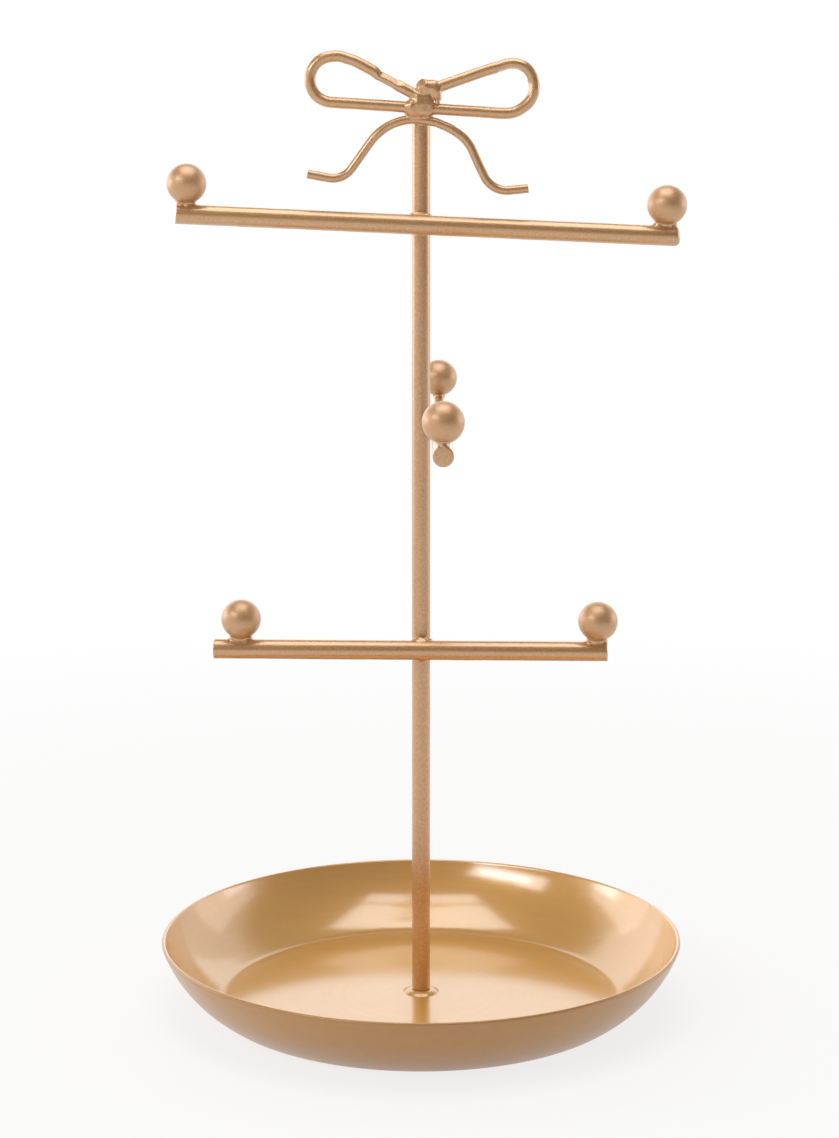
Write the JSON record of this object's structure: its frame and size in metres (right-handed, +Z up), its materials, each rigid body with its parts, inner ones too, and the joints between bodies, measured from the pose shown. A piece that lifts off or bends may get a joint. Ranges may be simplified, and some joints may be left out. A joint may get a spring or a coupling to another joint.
{
  "type": "jewelry stand",
  "caption": "Table stand for jewellery: rod post with crossing ball-ended bars and a wire bow on top, screwed to a shallow round dish that catches small pieces.",
  "frame": {"origin": "centre of the dish's underside, on the table", "axes": "+Z up along the post, -Y to the front, +X to the right"},
  "size_m": [0.1596, 0.1596, 0.2917],
  "materials": {
    "satin_gold_frame": "satin gold lacquer over welded steel",
    "gold_dish": "gold lacquer over spun steel, glossy inside and satin outside",
    "screw_steel": "zinc plated"
  },
  "bodies": {
    "dish": {"dish": "gold_dish"},
    "frame": {"fixing_screw": "screw_steel", "post": "satin_gold_frame", "upper_bar": "satin_gold_frame", "middle_bar": "satin_gold_frame", "lower_bar": "satin_gold_frame", "upper_left_ball": "satin_gold_frame", "upper_right_ball": "satin_gold_frame", "middle_front_ball": "satin_gold_frame", "middle_rear_ball": "satin_gold_frame", "lower_left_ball": "satin_gold_frame", "lower_right_ball": "satin_gold_frame", "upper_left_ball_weld": "satin_gold_frame", "upper_right_ball_weld": "satin_gold_frame", "middle_front_ball_weld": "satin_gold_frame", "middle_rear_ball_weld": "satin_gold_frame", "lower_left_ball_weld": "satin_gold_frame", "lower_right_ball_weld": "satin_gold_frame", "upper_bar_weld": "satin_gold_frame", "middle_bar_weld": "satin_gold_frame", "lower_bar_weld": "satin_gold_frame", "bow_loops": "satin_gold_frame", "bow_tails": "satin_gold_frame", "bow_knot": "satin_gold_frame", "bow_bead": "satin_gold_frame"}
  },
  "joints": [
    {"name": "post_turn", "type": "hinge", "parent": "dish", "child": "frame", "pos_m": [0, 0, 0.0032], "axis": [0, 0, 1], "continuous": true}
  ]
}
